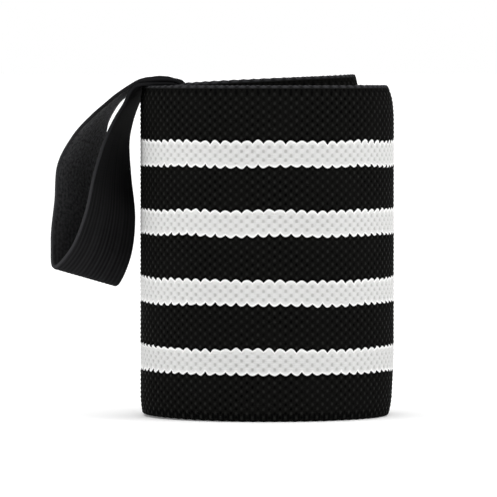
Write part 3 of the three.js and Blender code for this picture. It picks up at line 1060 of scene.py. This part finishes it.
# %% [markdown]
# ### Hook tape
#
# Hook tape is moulded nylon, glossier than the cloth, and its hooks make a grid of dots. A Voronoi
# texture with little randomness gives such a grid, with each dot a bit out of line.

# %% Hook tape material
HOOK_PITCH = 1.4
HOOK_GROUND, HOOK_TIP = "#0B0B0C", "#232325"

tape_material, tree = new_material("moulded_nylon_hook_tape")
tape_uv = add_node(tree, "UVMap", uv_map="tape")
dots = add_node(
    tree,
    "TexVoronoi",
    {"Vector": tape_uv, "Scale": 1 / (HOOK_PITCH * MM), "Randomness": 0.15},
    voronoi_dimensions="2D",
)
hook = add_node(tree, "MapRange", {"Value": dots.outputs["Distance"], "From Min": 0.5, "From Max": 0.1})
hooked = {"Factor": hook, A: linear(HOOK_GROUND), B: linear(HOOK_TIP)}
colour = add_node(tree, "Mix", hooked, data_type="RGBA")
relief = add_node(tree, "Bump", {"Strength": 0.6, "Distance": 0.3 * MM, "Height": hook})
shader = add_node(
    tree,
    "BsdfPrincipled",
    {"Base Color": colour, "Roughness": 0.4, "Specular IOR Level": 0.3, "IOR": 1.53, "Normal": relief},
)
add_node(tree, "OutputMaterial", {"Surface": shader})
hook_tape.data.materials.append(tape_material)
print("hook tape nodes:", len(tree.nodes))

# %% [markdown]
# ### Thread
#
# The thread is spun polyester: two strands twisted together, which show as slanting bands. The bands
# follow the UV map that each sphere and ring was made with, so they go round every stitch.

# %% Thread material
THREAD_DARK, THREAD_LIGHT = "#0A0A0A", "#26262A"
STRANDS, SLANT = 2, 3.0

thread_material, tree = new_material("spun_polyester_thread")
thread_uv = add_node(tree, "UVMap", uv_map="UVMap")
flat = add_node(tree, "SeparateXYZ", [thread_uv])
twist = add_node(tree, "Math", (flat.outputs[1], SLANT, flat.outputs[0]), operation="MULTIPLY_ADD")
twist_turns = add_node(tree, "Math", (twist, STRANDS * 2 * math.pi), operation="MULTIPLY")
twist_wave = add_node(tree, "Math", [twist_turns], operation="SINE")
strand = add_node(tree, "MapRange", {"Value": twist_wave, "From Min": -0.8, "From Max": 0.4})
twisted = {"Factor": strand, A: linear(THREAD_DARK), B: linear(THREAD_LIGHT)}
colour = add_node(tree, "Mix", twisted, data_type="RGBA")
shader = add_node(
    tree, "BsdfPrincipled", {"Base Color": colour, "Roughness": 0.55, "Specular IOR Level": 0.2, "IOR": 1.5}
)
add_node(tree, "OutputMaterial", {"Surface": shader})
for stitches in (tape_stitches, loop_stitches, overlock):
    stitches.data.materials.clear()
    stitches.data.materials.append(thread_material)
print("thread nodes:", len(tree.nodes))

# %% [markdown]
# ## Floor and light
#
# The object was photographed in a white-out: white floor, white background, hardly a shadow. The floor
# is a light table that glows a little, which washes out most of the shadow. The Standard view keeps
# white yarn and white floor as they were photographed.

# %% Lay the floor
FLOOR_SIZE = 120
PAPER, GLOW, FLOOR_GLOW = "#FAFAFA", "#FFFFFF", 0.15

bpy.context.scene.view_settings.view_transform = "Standard"
bpy.ops.mesh.primitive_plane_add(size=FLOOR_SIZE, location=(0, 0, 0))
floor = bpy.context.object
floor.name = "floor"
floor_material, tree = new_material("white_studio_paper")
paper = {"Base Color": linear(PAPER), "Roughness": 1.0, "Specular IOR Level": 0.0}
glow = {"Emission Color": linear(GLOW), "Emission Strength": FLOOR_GLOW}
shader = add_node(tree, "BsdfPrincipled", {**paper, **glow})
add_node(tree, "OutputMaterial", {"Surface": shader})
floor.data.materials.append(floor_material)
print("floor size in m:", [round(side) for side in floor.dimensions])

# %% [markdown]
# Lamps alone would leave dark corners, so a dome of light does the rest. It is bright overhead, like a
# ceiling of softboxes, so that the floor is white as far as the eye goes, and white along the horizon.
# Between them it is dim, which leaves the black cloth black.

# %% Light the dome
# height in the dome, from the horizon to straight up, and how bright it is there
DOME = ((0.0, 1.0), (0.06, 1.0), (0.1, 0.1), (0.6, 0.1), (0.75, 1.9), (1.0, 1.9))
DOME_BRIGHTEST = max(light for _, light in DOME)

world = bpy.data.worlds.new("white_dome")
bpy.context.scene.world = world
world.use_nodes = True
tree = world.node_tree
tree.nodes.clear()
direction = add_node(tree, "TexCoord")
flat = add_node(tree, "SeparateXYZ", [direction.outputs["Generated"]])
ramp = add_node(tree, "ValToRGB", [flat.outputs[2]])
for stop, (place, light) in enumerate(DOME):
    if stop > 1:
        ramp.color_ramp.elements.new(place)
    element = ramp.color_ramp.elements[stop]
    element.position = place
    element.color = (*[light / DOME_BRIGHTEST] * 3, 1)
sky = add_node(tree, "Background", {"Color": ramp, "Strength": DOME_BRIGHTEST})
add_node(tree, "OutputWorld", {"Surface": sky})
print("brightest part of the dome:", DOME_BRIGHTEST)

# %% [markdown]
# A dome lights the cloth evenly, and its relief would hardly show. Two softboxes at the sides rake across
# the weave and bring out its bumps.

# %% Add two softboxes
SOFTBOX_SIZE, SOFTBOX_AIM = (0.3, 0.8), Vector((0, 0, 0.04))
# place in metres and power in watts
SOFTBOXES = {
    "left_softbox": ((-1.1, -0.45, 0.45), 3.2),
    "right_softbox": ((1.1, -0.45, 0.45), 3.4),
}

for name, (place, power) in SOFTBOXES.items():
    bpy.ops.object.light_add(type="AREA", location=place)
    lamp = bpy.context.object
    lamp.name = name
    lamp.data.shape = "RECTANGLE"
    lamp.data.size, lamp.data.size_y = SOFTBOX_SIZE
    lamp.data.energy = power
    lamp.rotation_euler = (SOFTBOX_AIM - Vector(place)).to_track_quat("-Z", "Y").to_euler()
